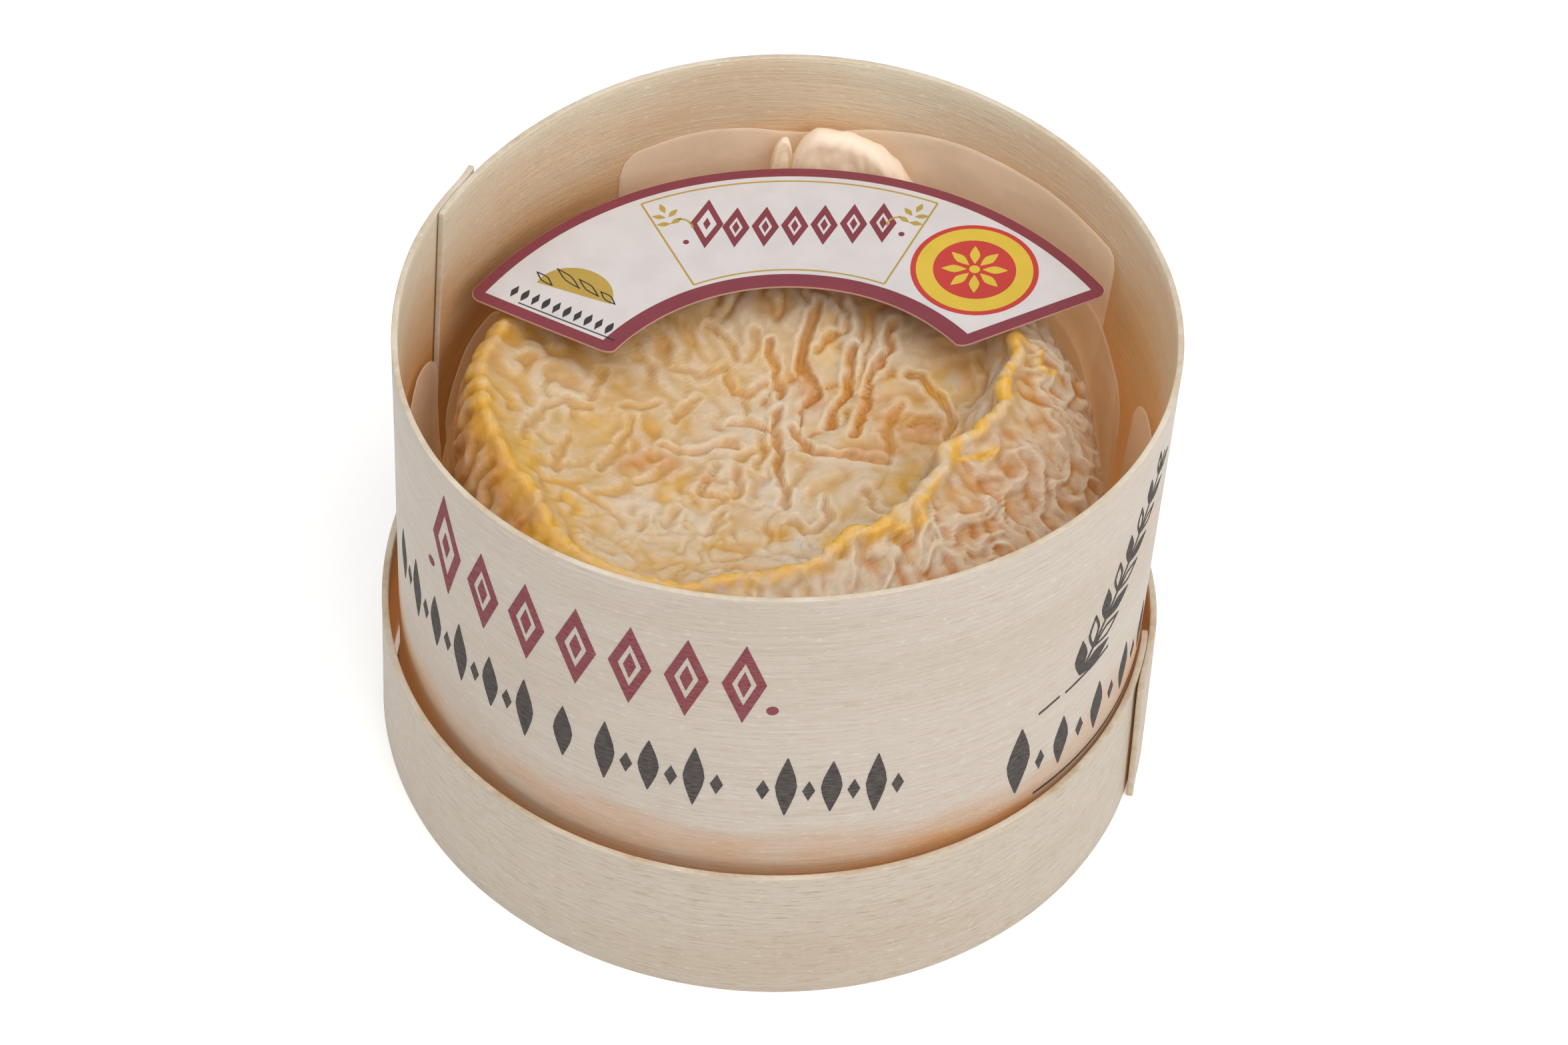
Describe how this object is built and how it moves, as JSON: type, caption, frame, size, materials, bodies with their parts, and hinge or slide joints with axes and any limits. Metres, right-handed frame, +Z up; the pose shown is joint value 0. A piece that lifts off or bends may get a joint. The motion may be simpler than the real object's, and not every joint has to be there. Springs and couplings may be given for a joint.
{
  "type": "boxed langres cheese",
  "caption": "Small round washed-rind cheese with a hollow, wrinkled top, wrapped in thin paper in an open veneer box that stands in its own lid, with a curved paper label laid across it.",
  "frame": {"origin": "centre of the lid's underside, which is the face that the whole rests on", "axes": "+Z up out of the box, -Y towards the viewer of the picture, +X to the right"},
  "size_m": [0.095, 0.095, 0.0657],
  "materials": {
    "lid_veneer": "bare rotary-cut veneer, fine grain with short dark flecks",
    "box_veneer": "bare rotary-cut veneer, fine grain, simple maroon and grey print outside",
    "panel_wood": "bare thin wood",
    "liner_paper": "thin greaseproof paper, slightly see-through, creased",
    "rind": "moist washed rind, orange in the grooves, with pale bloom on the ridges",
    "label_paper": "coated paper, satin, maroon border and thin gold lines"
  },
  "bodies": {
    "root": {"lid_wall": "lid_veneer", "lid_panel": "panel_wood", "box_wall": "box_veneer", "box_base": "panel_wood", "paper_liner": "liner_paper", "cheese": "rind", "label": "label_paper"}
  },
  "joints": []
}
